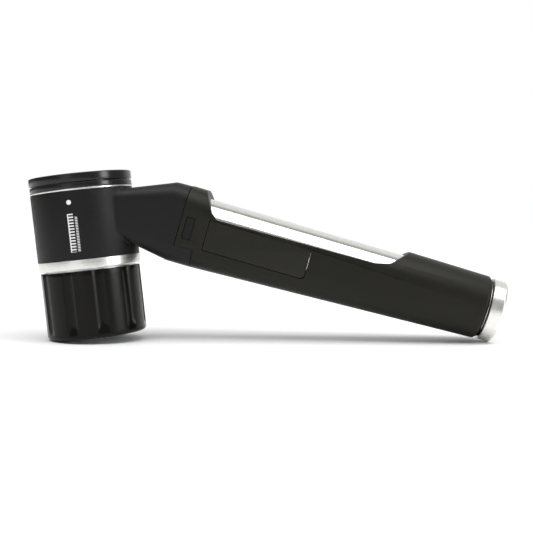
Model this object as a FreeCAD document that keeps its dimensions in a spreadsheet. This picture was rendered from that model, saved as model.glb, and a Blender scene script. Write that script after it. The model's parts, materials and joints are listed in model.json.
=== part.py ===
import FreeCAD, Part
import math
import os
import re

import Sketcher

# A hand-held skin scope lying on a table: a round head stands on the rim of its eyepiece and the
# handle slopes down to the rim of its battery cap. Millimetres; +X runs from head to cap, +Z is up.
#
# Two frames carry the pieces. The head frame has its Z along the optical axis and starts in the
# eyepiece's rim plane. The handle frame has its X along the battery tube and starts where the tube's
# axis meets the optical axis. A piece is drawn in one of them and put in place by its Placement.

SIZES = {
    # head, along the optical axis
    "barrel_r": 16.5,
    "barrel_bore": 14.45,
    "barrel_bottom": 25.15,
    "barrel_top": 46.95,
    "board_bore": 14.9,
    "board_seat": 42.5,
    "trim_r": 16.45,
    "trim_top": 47.5,
    "base_top": 49.3,
    "base_bore": 14.0,
    "contact_r": 16.55,
    "contact_bottom": 49.6,
    "contact_top": 52.3,
    "ledge_r": 14.4,
    "glass_r": 12.9,
    "glass_thick": 1.4,
    # focusing eyepiece and its optics
    "focus_r": 16.05,
    "focus_top": 21.6,
    "focus_bore": 14.45,
    "focus_rim": 1.3,
    "flute_depth": 0.63,
    "flute_r": 4.0,
    "flute_count": 10,
    "flute_turn": 21.0,
    "flute_start": 1.3,
    "tube_flange_bottom": 22.1,
    "lens_tube_r": 14.4,
    "lens_tube_bore": 13.0,
    "lens_tube_low": 8.2,
    "lens_tube_high": 36.0,
    "cell_r": 12.95,
    "cell_bore": 11.8,
    "cell_low": 4.05,
    "cell_high": 17.0,
    "lens_r": 11.75,
    "key_r": 0.8,
    "key_z": 15.0,
    # handle, along the battery tube
    "handle_angle": 22.27,
    "handle_root": 47.3,
    "tube_r": 9.2,
    "tube_bore": 7.75,
    "tube_start": 29.0,
    "tube_end": 136.0,
    "tube_fit": 0.08,
    "cell_radius": 7.2,
    "cell_length": 50.5,
    "cell_nub": 1.2,
    "cells_start": 32.2,
    "cap_r": 10.0,
    "cap_start": 136.35,
    "cap_end": 140.7,
    "cap_chamfer": 0.6,
    "cap_floor": 138.4,
    "thread_r": 8.4,
    "thread_start": 130.4,
    # shell section where the handle leaves the neck and at its far end
    "shell_start": 33.0,
    "shell_end": 135.7,
    "shell_front_half": 10.95,
    "shell_front_top": 11.7,
    "shell_front_low": 14.0,
    "shell_front_round": 7.0,
    "shell_rear_half": 10.35,
    "shell_rear_top": 10.3,
    "shell_rear_low": 10.2,
    "shell_rear_round": 9.6,
    "shell_chamfer": 1.0,
    "part_upper": 35.3,
    "part_lower": 41.4,
    "part_step": 7.7,
    "seam": 0.12,
    # press tongue on the flank
    "paddle_start": 44.4,
    "paddle_end": 77.6,
    "paddle_top": 2.75,
    "paddle_low": 6.8,
    "paddle_round": 1.4,
    "paddle_thick": 0.95,
    "paddle_gap": 0.14,
    "bead_r": 0.3,
    "bead_y": 9.9,
    "switch_along": 72.0,
    # latch windows
    "window_start": 37.0,
    "window_end": 39.8,
    "window_top": 2.1,
    "window_low": 5.1,
    # where the neck leaves the barrel and where it bends
    "neck_wide": 10.9,
    "neck_x": 8.0,
    "neck_z": 40.3,
    "neck_low": 6.8,
    "neck_high": 5.8,
    "neck_round": 3.0,
    "knee_wide": 10.95,
    "knee_x": 29.5,
    "knee_z": 34.7,
    "knee_low": 13.2,
    "knee_high": 12.0,
    "knee_round": 5.6,
}

doc = FreeCAD.newDocument("skin_scope")
sheet = doc.addObject("Spreadsheet::Sheet", "Sizes")
for row, (alias, size) in enumerate(SIZES.items(), start=1):
    sheet.set(f"A{row}", alias)
    sheet.set(f"B{row}", str(size))
    sheet.setAlias(f"B{row}", alias)
doc.recompute()


def sized(text):
    """Put the sheet's name before each of its aliases in an expression."""
    return re.sub(r"[a-z_]+", lambda word: f"Sizes.{word[0]}" if word[0] in SIZES else word[0], str(text))


def value(text):
    """Return the number that an expression gives now."""
    number = sheet.evalExpression(sized(text))
    return float(getattr(number, "Value", number))


def bind(item, **expressions):
    """Tie properties to expressions; a double underscore in a name stands for a full stop."""
    for name, text in expressions.items():
        item.setExpression(name.replace("__", "."), sized(text))
    return item


# ---------------------------------------------------------------- sketches and features


def new_body(label):
    body = doc.addObject("PartDesign::Body", label + "_body")
    body.Label = label
    return body


def new_sketch(body, plane, name, along=0):
    """Add a sketch on one of the body's origin planes, moved along that plane's normal."""
    sketch = body.newObject("Sketcher::SketchObject", name)
    origin = [feature for feature in body.Origin.OriginFeatures if feature.Role == plane + "_Plane"]
    sketch.AttachmentSupport = [(origin[0], "")]
    sketch.MapMode = "FlatFace"
    if along:
        bind(sketch, AttachmentOffset__Base__z=along)
    doc.recompute()
    return sketch


def pin_point(sketch, index, end, across, up):
    """Fix one end of a sketch line by two expressions measured from the sketch's origin."""
    for kind, axis, text in (("DistanceX", -2, across), ("DistanceY", -1, up)):
        place = value(text)
        if abs(place) < 1e-9:
            sketch.addConstraint(Sketcher.Constraint("PointOnObject", index, end, axis))
            continue
        ends = (-1, 1, index, end) if place > 0 else (index, end, -1, 1)
        sign = "" if place > 0 else "-"
        made = sketch.addConstraint(Sketcher.Constraint(kind, *ends, abs(place)))
        sketch.setExpression(f"Constraints[{made}]", sized(f"{sign}({text})"))


def draw_polygon(sketch, corners):
    """Draw a closed outline through corners given as pairs of expressions."""
    points = [FreeCAD.Vector(value(across), value(up), 0) for across, up in corners]
    count = len(points)
    lines = [Part.LineSegment(points[i], points[(i + 1) % count]) for i in range(count)]
    sketch.addGeometry(lines, False)
    for i in range(count):
        sketch.addConstraint(Sketcher.Constraint("Coincident", i, 2, (i + 1) % count, 1))
    for i, (across, up) in enumerate(corners):
        pin_point(sketch, i, 1, across, up)
    doc.recompute()


def draw_rounded(sketch, half, low, top, round_r):
    """Draw an upright rectangle with rounded corners, centred on the sketch's vertical axis."""
    wide, down, up, r = (value(text) for text in (half, low, top, round_r))
    sides = [((-wide + r, -down), (wide - r, -down)), ((wide, -down + r), (wide, up - r)),
             ((wide - r, up), (-wide + r, up)), ((-wide, up - r), (-wide, -down + r))]
    centres = [(wide - r, -down + r), (wide - r, up - r), (-wide + r, up - r), (-wide + r, -down + r)]
    sketch.addGeometry([Part.LineSegment(FreeCAD.Vector(*a, 0), FreeCAD.Vector(*b, 0)) for a, b in sides])
    for quarter, centre in enumerate(centres):
        circle = Part.Circle(FreeCAD.Vector(*centre, 0), FreeCAD.Vector(0, 0, 1), r)
        first = math.pi / 2 * (quarter - 1)
        sketch.addGeometry(Part.ArcOfCircle(circle, first, first + math.pi / 2))
    for side in range(4):
        arc = side + 4
        sketch.addConstraint(Sketcher.Constraint("Tangent", side, 2, arc, 1))
        sketch.addConstraint(Sketcher.Constraint("Tangent", arc, 2, (side + 1) % 4, 1))
        sketch.addConstraint(Sketcher.Constraint(("Horizontal", "Vertical")[side % 2], side))
    for arc in (5, 6, 7):
        sketch.addConstraint(Sketcher.Constraint("Equal", 4, arc))
    limits = (("Radius", (4, r), round_r),
              ("DistanceX", (-1, 1, 1, 1, wide), half), ("DistanceX", (3, 1, -1, 1, wide), half),
              ("DistanceY", (0, 1, -1, 1, down), low), ("DistanceY", (-1, 1, 2, 1, up), top))
    for kind, arguments, text in limits:
        made = sketch.addConstraint(Sketcher.Constraint(kind, *arguments))
        sketch.setExpression(f"Constraints[{made}]", sized(text))
    doc.recompute()


def revolve(body, corners, axis):
    """Turn an outline in the XZ plane about the body's X ("H_Axis") or Z ("V_Axis")."""
    sketch = new_sketch(body, "XZ", body.Label + "_outline")
    draw_polygon(sketch, corners)
    turned = body.newObject("PartDesign::Revolution", body.Label + "_turned")
    turned.Profile = sketch
    turned.ReferenceAxis = (sketch, [axis])
    doc.recompute()
    return turned


def head_turned(label, corners):
    """A piece turned about the optical axis; corners are (radius, height)."""
    body = new_body(label)
    revolve(body, corners, "V_Axis")
    return body


def handle_turned(label, corners):
    """A piece turned about the battery tube's axis; corners are (distance along, radius)."""
    body = new_body(label)
    revolve(body, corners, "H_Axis")
    return body


def ring(label, outer, inner, low, high):
    return head_turned(label, [(inner, low), (outer, low), (outer, high), (inner, high)])


def dress_edges(body, kind, size, wanted):
    """Fillet or chamfer the edges of the body's tip for which wanted(edge) holds."""
    doc.recompute()
    tip = body.Tip
    names = [f"Edge{i}" for i, edge in enumerate(tip.Shape.Edges, start=1) if wanted(edge)]
    if not names:
        raise RuntimeError(f"{body.Label}: no edge to dress")
    dressing = body.newObject(f"PartDesign::{kind}", f"{body.Label}_{kind.lower()}")
    dressing.Base = (tip, names)
    bind(dressing, **{"Radius" if kind == "Fillet" else "Size": size})
    doc.recompute()
    return dressing


def circle_at(radius, level, axis="z"):
    """Pick the full circles of one radius at one level along an axis."""
    r, at = value(radius), value(level)

    def wanted(edge):
        curve = edge.Curve
        if not isinstance(curve, Part.Circle):
            return False
        return abs(curve.Radius - r) < 1e-4 and abs(getattr(curve.Center, axis) - at) < 1e-4

    return wanted


def box(name, x, y, z):
    """A Part::Box from three (low, high) pairs of expressions."""
    block = doc.addObject("Part::Box", name)
    for size, base, (low, high) in zip(("Length", "Width", "Height"), "xyz", (x, y, z)):
        bind(block, **{size: f"({high}) - ({low})", f"Placement__Base__{base}": low})
    return block


def rod(name, radius, length, x=0, y=0, z=0, along="z"):
    """A Part::Cylinder that starts at a point and runs along one axis."""
    turns = {"x": ((0, 1, 0), 90), "y": ((1, 0, 0), -90), "z": ((0, 0, 1), 0)}
    axis, angle = turns[along]
    cylinder = doc.addObject("Part::Cylinder", name)
    cylinder.Placement = FreeCAD.Placement(FreeCAD.Vector(), FreeCAD.Rotation(FreeCAD.Vector(*axis), angle))
    bind(cylinder, Radius=radius, Height=length)
    bind(cylinder, Placement__Base__x=x, Placement__Base__y=y, Placement__Base__z=z)
    return cylinder


def fuse(name, *items):
    made = doc.addObject("Part::MultiFuse", name)
    made.Shapes = list(items)
    made.Refine = True
    return made


def cut(name, base, *tools):
    """Take the tools away from the base, as one Part::Cut."""
    made = doc.addObject("Part::Cut", name)
    made.Base = base
    made.Tool = tools[0] if len(tools) == 1 else fuse(name + "_tools", *tools)
    made.Refine = True
    return made


def padded(label, corners, half_width):
    """A side outline in the XZ plane, padded both ways to a half width."""
    body = new_body(label)
    sketch = new_sketch(body, "XZ", label + "_outline")
    draw_polygon(sketch, corners)
    pad = body.newObject("PartDesign::Pad", label + "_pad")
    pad.Profile = sketch
    pad.Midplane = True
    bind(pad, Length=f"2 * ({half_width})")
    doc.recompute()
    return body


# ---------------------------------------------------------------- resting pose

# The scope rests on two rims. The floor line is the tangent from the cap's lowest corner to the
# rounded rim of the eyepiece, so the tilt follows from the sizes.
bend = math.radians(SIZES["handle_angle"])
rim_x = SIZES["focus_rim"] - SIZES["focus_r"]
rim_z = SIZES["focus_rim"]
corner_along = SIZES["cap_end"] - SIZES["cap_chamfer"]
corner_x = corner_along * math.cos(bend) - SIZES["cap_r"] * math.sin(bend)
corner_z = SIZES["handle_root"] - corner_along * math.sin(bend) - SIZES["cap_r"] * math.cos(bend)
span = math.hypot(corner_x - rim_x, corner_z - rim_z)
tilt = -math.atan2(corner_z - rim_z, corner_x - rim_x) - math.asin(rim_z / span)

head_z = -(rim_x * math.sin(tilt) + rim_z * math.cos(tilt)) + rim_z
left = -SIZES["contact_r"] * math.cos(tilt) - SIZES["contact_top"] * math.sin(tilt)
right = (SIZES["cap_end"] * math.cos(bend - tilt) - SIZES["handle_root"] * math.sin(tilt)
         + (SIZES["cap_r"] - SIZES["cap_chamfer"]) * math.sin(bend - tilt))
head_x = -(left + right) / 2

head_turn = FreeCAD.Rotation(FreeCAD.Vector(0, 1, 0), -math.degrees(tilt))
handle_turn = FreeCAD.Rotation(FreeCAD.Vector(0, 1, 0), math.degrees(bend - tilt))
HEAD = FreeCAD.Placement(FreeCAD.Vector(head_x, 0, head_z), head_turn)
root_point = HEAD.multVec(FreeCAD.Vector(0, 0, SIZES["handle_root"]))
HANDLE = FreeCAD.Placement(root_point, handle_turn)
HANDLE_IN_HEAD = HEAD.inverse().multiply(HANDLE)

pieces = []


def place(item, label, frame):
    """Name a finished piece and put it where its frame is."""
    item.Label = label
    item.Placement = frame
    pieces.append(item)
    return item


def place_group(label, frame, *items):
    """Place separate solids that share a node, or one primitive that needs a frame of its own."""
    group = doc.addObject("Part::Compound", label + "_group")
    group.Links = list(items)
    return place(group, label, frame)


# ---------------------------------------------------------------- shell of the handle


def shell_loft(name, inset):
    """The handle's outer form, drawn in by an inset: boxy at the neck, nearly round at the cap."""
    body = new_body(name)
    stations = (("shell_start", "shell_front", inset), ("shell_end - shell_chamfer", "shell_rear", inset),
                ("shell_end", "shell_rear", f"({inset} + shell_chamfer)"))
    sections = []
    for i, (along, stem, inward) in enumerate(stations):
        sketch = new_sketch(body, "YZ", f"{name}_section_{i}", along)
        draw_rounded(sketch, *(f"{stem}_{size} - {inward}" for size in ("half", "low", "top", "round")))
        sections.append(sketch)
    loft = body.newObject("PartDesign::AdditiveLoft", name + "_loft")
    loft.Profile = sections[0]
    loft.Sections = sections[1:]
    loft.Ruled = True
    doc.recompute()
    return body


def cutout_tool():
    """The long opening above the battery tube, as an upright prism."""
    corners = [(40.5, 14.0), (40.5, 11.4), (44.1, 5.2), (44.7, 4.3), (45.6, 3.7), (46.9, 3.5),
               (97.0, 4.38), (99.4, 4.66), (101.3, 5.15), (103.0, 5.97), (104.6, 7.05), (106.2, 8.4),
               (109.4, 11.9), (109.4, 14.0)]
    return padded("cutout", corners, 13.0)


def paddle_outline(name, gap):
    """The press tongue's outline as a block that reaches out past the near flank."""
    block = box(name + "_block", (f"paddle_start - {gap}", f"paddle_end + {gap}"), (-13, -7.4),
                (f"-paddle_low - {gap}", f"paddle_top + {gap}"))
    doc.recompute()
    rounded = doc.addObject("Part::Fillet", name)
    rounded.Base = block
    far = value("paddle_end") + gap
    edges = []
    for i, edge in enumerate(block.Shape.Edges, start=1):
        low, high = edge.BoundBox.XMin, edge.BoundBox.XMax
        if abs(low - far) < 1e-6 and abs(high - far) < 1e-6 and edge.BoundBox.YLength > 1:
            edges.append((i, value("paddle_round"), value("paddle_round")))
    rounded.Edges = edges
    return rounded


def make_handle_shell():
    """Black moulded shell with the cutout, the stepped front, windows and the tongue's opening."""
    outer = shell_loft("shell_form", 0)
    tools = [
        rod("shell_bore", "tube_r + tube_fit", 120, x="shell_start - 5", along="x"),
        cutout_tool(),
        box("shell_front_upper", (20, "part_upper + seam"), (-20, 20), ("-part_step - seam", 20)),
        box("shell_front_lower", (20, "part_lower + seam"), (-20, 20), (-20, "-part_step + 0.01")),
        box("shell_tongue_room", ("shell_start", 41.2), (-10.05, 10.05), (-6.2, 3.2)),
        box("shell_windows", ("window_start", "window_end"), (-15, 15), ("-window_low", "window_top")),
        paddle_outline("shell_paddle_opening", value("paddle_gap")),
        padded("shell_channel", [(34, -8), (110, -8), (110, -8.6), (34, -12.3)], 4.0),
        box("shell_flex_room", (33, 79), (-9.0, -7.0), (-7.6, -3.0)),
    ]
    place(cut("handle_shell", outer, *tools), "handle_shell", HANDLE)


# ---------------------------------------------------------------- head housing


def at_length(stem, along):
    """A size of the handle's outer form at a distance along it."""
    share = f"(({along}) - shell_start) / (shell_end - shell_start)"
    return f"shell_front_{stem} + (shell_rear_{stem} - shell_front_{stem}) * {share}"


def neck_section(body, name, distance, lean, centre, sizes):
    """A rounded section across the neck, whose plane leans towards the handle."""
    sketch = new_sketch(body, "YZ", name)
    # the sketch's own X is the body's Y, so a turn about it leans the section
    turn = FreeCAD.Rotation(FreeCAD.Vector(1, 0, 0), lean)
    sketch.AttachmentOffset = FreeCAD.Placement(FreeCAD.Vector(0, value(centre), value(distance)), turn)
    doc.recompute()
    draw_rounded(sketch, *sizes)
    return sketch


def in_handle(name, *items):
    """Group tools drawn in the handle frame and move them into the head frame."""
    group = doc.addObject("Part::Compound", name)
    group.Links = list(items)
    group.Placement = HANDLE_IN_HEAD
    return group


def latch_tongue(side):
    """A thin tongue on one flank whose nub fills the shell's window from inside."""
    near, far = sorted((side * 9.35, side * 9.95))
    strip = box(f"tongue_{side + 1}", (33.0, 41.0), (near, far), (-6.0, 3.0))
    near, far = sorted((side * 9.9, side * 10.4))
    nub = box(f"nub_{side + 1}", ("window_start + 0.1", "window_end - 0.1"), (near, far),
              ("-window_low + 0.1", "window_top - 0.1"))
    return fuse(f"latch_{side + 1}", strip, nub)


def make_head_housing():
    """Matte black barrel and neck in one moulding, with two latch tongues for the shell."""
    body = new_body("neck_form")
    lean = SIZES["handle_angle"]
    end = HANDLE_IN_HEAD.multVec(FreeCAD.Vector(SIZES["part_lower"], 0, 0))
    end_sizes = [at_length(stem, "part_lower") for stem in ("half", "low", "top", "round")]
    sections = [
        neck_section(body, "neck_inner", "neck_x", 0, "neck_z",
                     ("neck_wide", "neck_low", "neck_high", "neck_round")),
        neck_section(body, "neck_knee", "knee_x", lean * 0.65, "knee_z",
                     ("knee_wide", "knee_low", "knee_high", "knee_round")),
        neck_section(body, "neck_end", end.x, lean, end.z, end_sizes),
    ]
    loft = body.newObject("PartDesign::AdditiveLoft", "neck_loft")
    loft.Profile = sections[0]
    loft.Sections = sections[1:]
    loft.Ruled = True
    doc.recompute()

    barrel = rod("barrel_form", "barrel_r", "barrel_top - barrel_bottom", z="barrel_bottom")
    hollow = [
        rod("barrel_hollow", "barrel_bore", 20, z="barrel_bottom - 1"),
        rod("board_hollow", "board_bore", 10, z="board_seat"),
        box("neck_passage", (13, 27.5), (-7, 7), (31, 41.5)),
        in_handle("neck_end_tools",
                  box("neck_upper_end", ("part_upper", 60), (-20, 20), ("-part_step - seam", 20)),
                  rod("neck_tube_bore", "tube_r + tube_fit", 40, x="tube_start - 0.2", along="x")),
    ]
    shell = cut("housing_form", fuse("housing_blank", barrel, body), *hollow)
    latches = in_handle("latches", latch_tongue(-1), latch_tongue(1))
    place(fuse("head_housing", shell, latches), "head_housing", HEAD)


# ---------------------------------------------------------------- skin end of the head


def make_skin_end():
    """Aluminium trim, base ring and the lift-off contact ring with its glass and seal."""
    place(ring("trim_ring", "trim_r", 14.95, "barrel_top + 0.05", "trim_top"), "trim_ring", HEAD)
    base = head_turned("base_ring", [
        ("base_bore", 45.7), (14.85, 45.7), (14.85, "trim_top"), ("barrel_r - 0.05", "trim_top"),
        ("barrel_r - 0.05", "base_top"), ("base_bore", "base_top")])
    place(base, "base_ring", HEAD)
    contact = head_turned("contact_ring", [
        (12.3, 47.0), (13.95, 47.0), (13.95, 48.2), (13.2, 48.2), (13.2, 49.0), (13.95, 49.0),
        (13.95, "contact_bottom - 0.25"), ("ledge_r", "contact_bottom - 0.25"), ("ledge_r", "contact_bottom"),
        ("contact_r", "contact_bottom"), ("contact_r", "contact_top"),
        ("glass_r + 0.02", "contact_top"), ("glass_r + 0.02", "contact_top - glass_thick - 0.1"),
        (12.3, "contact_top - glass_thick - 0.1")])
    dress_edges(contact, "Fillet", 0.35, circle_at("contact_r", "contact_top"))
    place(contact, "contact_ring", HEAD)
    glass = ring("contact_glass", "glass_r", 0, "contact_top - glass_thick - 0.1", "contact_top - 0.1")
    place(glass, "contact_glass", HEAD)
    seal = doc.addObject("Part::Torus", "contact_o_ring")
    bind(seal, Radius1=13.56, Radius2=0.36)
    seat = FreeCAD.Placement(FreeCAD.Vector(0, 0, 48.6), FreeCAD.Rotation())
    place(seal, "contact_o_ring", HEAD.multiply(seat))


# ---------------------------------------------------------------- light source


def around_axis(name, count, radius, make, first=0.0):
    """Copies of a small solid spaced evenly about the optical axis, as one node."""
    copies = []
    for i in range(count):
        copy = make(i)
        spin = FreeCAD.Rotation(FreeCAD.Vector(0, 0, 1), first + 360.0 * i / count)
        group = doc.addObject("Part::Compound", f"{name}_{i}")
        group.Links = [copy]
        group.Placement = FreeCAD.Placement(spin.multVec(FreeCAD.Vector(radius, 0, 0)), spin)
        copies.append(group)
    whole = doc.addObject("Part::Compound", name)
    whole.Links = copies
    return whole


def make_light():
    """Ring of light-emitting diodes on a board above the optics, with its diffuser and leads."""
    board = ring("led_board_blank", 14.8, 10.3, "board_seat + 0.02", "board_seat + 1.22")
    holes = around_axis("board_holes", 3, 13.9, lambda i: rod(f"board_hole_{i}", 0.55, 6, z=40), 60)
    place(cut("led_board_cut", board, holes), "led_board", HEAD)
    leds = around_axis("leds", 8, 12.3, lambda i: box(f"led_{i}", (-1.1, 1.1), (-1.1, 1.1), (43.74, 44.6)),
                       22.5)
    place(leds, "leds", HEAD)
    screws = around_axis("board_screws", 3, 13.9, lambda i: fuse(
        f"board_screw_{i}", rod(f"screw_head_{i}", 0.9, 0.6, z=43.73),
        rod(f"screw_shank_{i}", 0.5, 1.3, z=42.55)), 60)
    place(screws, "board_screws", HEAD)
    place(ring("diffuser_ring", 14.8, 10.3, 44.75, 45.65), "diffuser_ring", HEAD)
    place(ring("baffle_tube", 10.2, 9.4, 36.05, 46.6), "baffle_tube", HEAD)


def lead(name, side):
    """One insulated lead from the driver board to the underside of the light board."""
    y = side * 1.6
    bend_r = 1.2
    start = FreeCAD.Vector(19.6, y, 39.3)
    corner = FreeCAD.Vector(13.4, y, 39.3)
    top = FreeCAD.Vector(13.4, y, SIZES["board_seat"] - 0.02)
    turn_in = corner + FreeCAD.Vector(bend_r, 0, 0)
    turn_out = corner + FreeCAD.Vector(0, 0, bend_r)
    middle = corner + FreeCAD.Vector(bend_r, 0, bend_r) * (1 - math.sqrt(0.5))
    path = Part.Wire([
        Part.LineSegment(start, turn_in).toShape(), Part.Arc(turn_in, middle, turn_out).toShape(),
        Part.LineSegment(turn_out, top).toShape()])
    section = Part.Wire([Part.Circle(start, FreeCAD.Vector(1, 0, 0), 0.4).toShape()])
    return path.makePipeShell([section], True, False)


def make_leads():
    leads = doc.addObject("Part::Feature", "led_leads")
    leads.Shape = Part.makeCompound([lead("near", -1), lead("far", 1)])
    place(leads, "led_leads", HEAD)


# ---------------------------------------------------------------- focusing eyepiece


def make_lens_tube():
    """Turned aluminium tube: its flange shows as the bright band, its skirt guides the eyepiece."""
    tube = head_turned("lens_tube_form", [
        ("lens_tube_bore", "lens_tube_low"), ("lens_tube_r", "lens_tube_low"),
        ("lens_tube_r", "tube_flange_bottom"), ("barrel_r", "tube_flange_bottom"),
        ("barrel_r", "barrel_bottom"), ("lens_tube_r", "barrel_bottom"),
        ("lens_tube_r", "lens_tube_high"), ("lens_tube_bore", "lens_tube_high")])
    dress_edges(tube, "Chamfer", 0.3, circle_at("barrel_r", "tube_flange_bottom"))
    slot = box("key_slot", ("-key_r - 0.05", "key_r + 0.05"), (11, 15), (10.6, 17.2))
    place(cut("lens_tube", tube, slot), "lens_tube", HEAD)


def make_focus_ring():
    """Ribbed focusing ring: shallow round-bottomed flutes, a rounded rim and a stepped bore."""
    body = head_turned("focus_ring", [
        (13.4, 0), ("focus_r", 0), ("focus_r", "focus_top"), ("focus_bore", "focus_top"),
        ("focus_bore", 3.95), (13.4, 3.95)])
    dress_edges(body, "Fillet", "focus_rim", circle_at("focus_r", 0))
    groove = new_sketch(body, "XY", "flute_outline", "focus_top")
    centre = value("focus_r - flute_depth + flute_r")
    circle = Part.Circle(FreeCAD.Vector(0, -centre, 0), FreeCAD.Vector(0, 0, 1), value("flute_r"))
    groove.addGeometry(circle, False)
    groove.addConstraint(Sketcher.Constraint("PointOnObject", 0, 3, -2))
    made = groove.addConstraint(Sketcher.Constraint("DistanceY", 0, 3, -1, 1, centre))
    groove.setExpression(f"Constraints[{made}]", sized("focus_r - flute_depth + flute_r"))
    made = groove.addConstraint(Sketcher.Constraint("Radius", 0, value("flute_r")))
    groove.setExpression(f"Constraints[{made}]", sized("flute_r"))
    whole = body.Shape.Volume
    pocket = body.newObject("PartDesign::Pocket", "flute")
    pocket.Profile = groove
    bind(pocket, Length="focus_top - flute_start")
    doc.recompute()
    if body.Shape.Volume > whole - 1:
        raise RuntimeError("the flute cuts nothing")
    flutes = body.newObject("PartDesign::PolarPattern", "flutes")
    flutes.Originals = [pocket]
    flutes.Axis = (groove, ["N_Axis"])
    flutes.Angle = 360
    bind(flutes, Occurrences="flute_count")
    body.Tip = flutes
    doc.recompute()
    turn = FreeCAD.Rotation(FreeCAD.Vector(0, 0, 1), value("flute_turn"))
    spin = FreeCAD.Placement(FreeCAD.Vector(), turn)
    place(body, "focus_ring", HEAD.multiply(spin))
    place(ring("carrier_clip", "focus_bore - 0.02", 13.1, 5.62, 6.6), "carrier_clip", HEAD)


def lens(label, radius, low, high, bulge_low, bulge_high):
    """A round lens with a straight edge and two spherical faces."""
    body = new_body(label)
    sketch = new_sketch(body, "XZ", label + "_outline")
    r = value(radius)
    foot, rim_low, rim_high, head = (FreeCAD.Vector(x, z, 0) for x, z in (
        (0, low - bulge_low), (r, low), (r, high), (0, high + bulge_high)))

    def face(start, end, bulge):
        """The arc of a spherical face from one point to the other."""
        sphere = (r * r + bulge * bulge) / (2 * abs(bulge))
        across = r / 2
        drop = math.sqrt(sphere ** 2 - across ** 2) - (sphere - abs(bulge))
        level = rim_low.y if rim_low in (start, end) else rim_high.y
        sign = -1 if level == rim_low.y else 1
        middle = FreeCAD.Vector(across, level + sign * math.copysign(drop, bulge), 0)
        return Part.Arc(start, middle, end)

    sketch.addGeometry([face(foot, rim_low, bulge_low), Part.LineSegment(rim_low, rim_high),
                        face(rim_high, head, bulge_high), Part.LineSegment(head, foot)], False)
    doc.recompute()
    turned = body.newObject("PartDesign::Revolution", label + "_turned")
    turned.Profile = sketch
    turned.ReferenceAxis = (sketch, ["V_Axis"])
    doc.recompute()
    return body


def make_lens_carrier():
    """Sliding cell with two lenses, their spacer and retainer, kept from turning by a key."""
    cell = head_turned("cell_form", [
        (10.9, "cell_low"), (14.35, "cell_low"), (14.35, 5.5), ("cell_r", 5.5),
        ("cell_r", "cell_high"), ("cell_bore", "cell_high"), ("cell_bore", 5.0), (10.9, 5.0)])
    key_hole = rod("key_hole", "key_r", 3, y=11.5, z="key_z", along="y")
    place(cut("lens_cell", cell, key_hole), "lens_cell", HEAD)
    place_group("key_pin", HEAD, rod("key", "key_r - 0.01", 2.1, y=12.0, z="key_z", along="y"))
    place(lens("eye_lens", "lens_r", 5.9, 7.6, 0.75, 1.9), "eye_lens", HEAD)
    spacer = head_turned("lens_spacer", [(10.9, 7.93), ("lens_r", 7.65), ("lens_r", 10.3), (10.9, 10.3)])
    place(spacer, "lens_spacer", HEAD)
    place(lens("field_lens", "lens_r", 10.35, 13.2, -0.6, 1.6), "field_lens", HEAD)
    retainer = head_turned("lens_retainer", [
        (10.7, 13.54), ("lens_r", 13.25), ("lens_r", 15.9), (10.7, 15.9)])
    place(retainer, "lens_retainer", HEAD)


# ---------------------------------------------------------------- battery tube and electrics


def battery(label, start):
    """One AA cell, its positive nub towards the head."""
    nub_end = f"({start}) + cell_nub"
    end = f"({start}) + cell_length"
    body = handle_turned(label, [
        (start, 0), (start, 2.6), (nub_end, 2.6), (nub_end, "cell_radius"), (end, "cell_radius"), (end, 0)])
    dress_edges(body, "Fillet", 0.5, lambda edge: isinstance(edge.Curve, Part.Circle)
                and abs(edge.Curve.Radius - SIZES["cell_radius"]) < 1e-4)
    place(body, label, HANDLE)


def make_battery_tube():
    tube = handle_turned("battery_tube", [
        ("tube_start", "tube_bore"), ("tube_start", "tube_r"), ("tube_end", "tube_r"),
        ("tube_end", "thread_r"), ("thread_start", "thread_r"), ("thread_start", "tube_bore")])
    place(tube, "battery_tube", HANDLE)
    battery("battery_front", "cells_start")
    battery("battery_rear", "cells_start + cell_length + 0.02")
    insulator = handle_turned("contact_insulator", [
        (28.9, 0), (28.9, 7.7), (31.6, 7.7), (31.6, 5.2), (30.2, 5.2), (30.2, 0)])
    place(insulator, "contact_insulator", HANDLE)
    contact = handle_turned("positive_contact", [
        (30.25, 0), (30.25, 4.6), (30.65, 4.6), (30.65, 2.2), (32.15, 1.6), (32.15, 0)])
    place(contact, "positive_contact", HANDLE)


def make_end_cap():
    """Turned aluminium cap that screws into the tube, with its spring and seal."""
    cap = handle_turned("end_cap", [
        ("cap_end", 0), ("cap_end", "cap_r"), ("cap_start", "cap_r"), ("cap_start", 9.15),
        ("cap_start + 0.35", 9.15), ("cap_start + 0.35", "thread_r - 0.05"),
        ("thread_start + 0.3", "thread_r - 0.05"), ("thread_start + 0.3", 7.35),
        ("cap_floor", 7.35), ("cap_floor", 0)])
    dress_edges(cap, "Chamfer", "cap_chamfer", lambda edge: isinstance(edge.Curve, Part.Circle)
                and abs(edge.Curve.Radius - SIZES["cap_r"]) < 1e-4
                and abs(edge.Curve.Center.x - SIZES["cap_end"]) < 1e-4)
    place(cap, "end_cap", HANDLE)
    seal = doc.addObject("Part::Torus", "cap_o_ring")
    bind(seal, Radius1=8.75, Radius2=0.33)
    across = FreeCAD.Rotation(FreeCAD.Vector(0, 1, 0), 90)
    seat = FreeCAD.Placement(FreeCAD.Vector(136.35, 0, 0), across)
    place(seal, "cap_o_ring", HANDLE.multiply(seat))
    spring = doc.addObject("Part::Feature", "cap_spring")
    spring.Shape, first = coil_spring()
    place(spring, "cap_spring", HANDLE.multiply(FreeCAD.Placement(FreeCAD.Vector(first, 0, 0), across)))


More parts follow.
